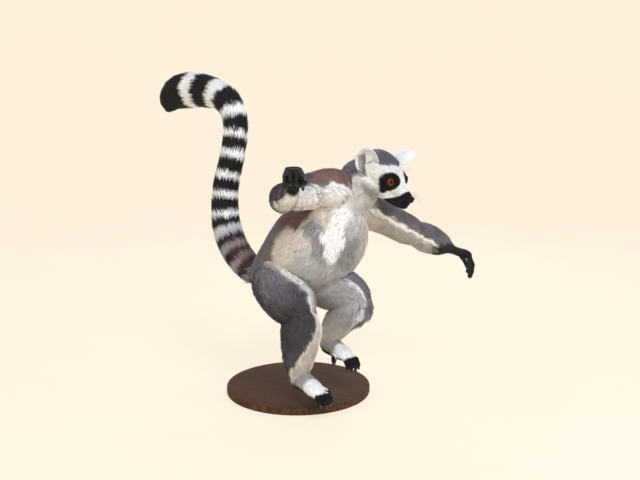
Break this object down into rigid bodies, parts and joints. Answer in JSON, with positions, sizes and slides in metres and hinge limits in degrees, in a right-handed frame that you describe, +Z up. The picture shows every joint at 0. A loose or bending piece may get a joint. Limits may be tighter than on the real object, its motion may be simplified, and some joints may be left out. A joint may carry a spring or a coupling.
{
  "type": "lemur figure",
  "caption": "Life-size ring-tailed lemur caught in mid-hop, with long banded tail raised, held by a disc base and rod.",
  "frame": {"origin": "centre of the stand base's underside", "axes": "+X the way the animal heads, +Y its left, +Z up"},
  "size_m": [0.6266, 0.4711, 0.6321],
  "materials": {
    "coat_trunk": "matte",
    "coat_face": "matte",
    "coat_white": "matte",
    "coat_grey": "matte",
    "coat_black": "matte",
    "coat_bands": "matte",
    "iris": "gloss",
    "wood": "satin",
    "steel": "satin"
  },
  "bodies": {
    "root": {"head": "coat_face", "neck": "coat_white", "trunk": "coat_trunk", "eye_right": "iris", "eye_left": "iris", "ear_right": "coat_white", "ear_left": "coat_white", "upper_arm_right": "coat_grey", "upper_arm_left": "coat_grey", "forearm_right": "coat_grey", "forearm_left": "coat_grey", "hand_right": "coat_black", "hand_left": "coat_black", "thigh_right": "coat_grey", "thigh_left": "coat_grey", "shank_right": "coat_grey", "shank_left": "coat_grey", "foot_right": "coat_white", "foot_left": "coat_white", "tail_1": "coat_bands", "tail_2": "coat_bands", "tail_3": "coat_bands", "tail_4": "coat_bands", "tail_5": "coat_bands", "stand_base": "wood", "stand_collar": "steel", "stand_rod": "steel"}
  },
  "joints": []
}
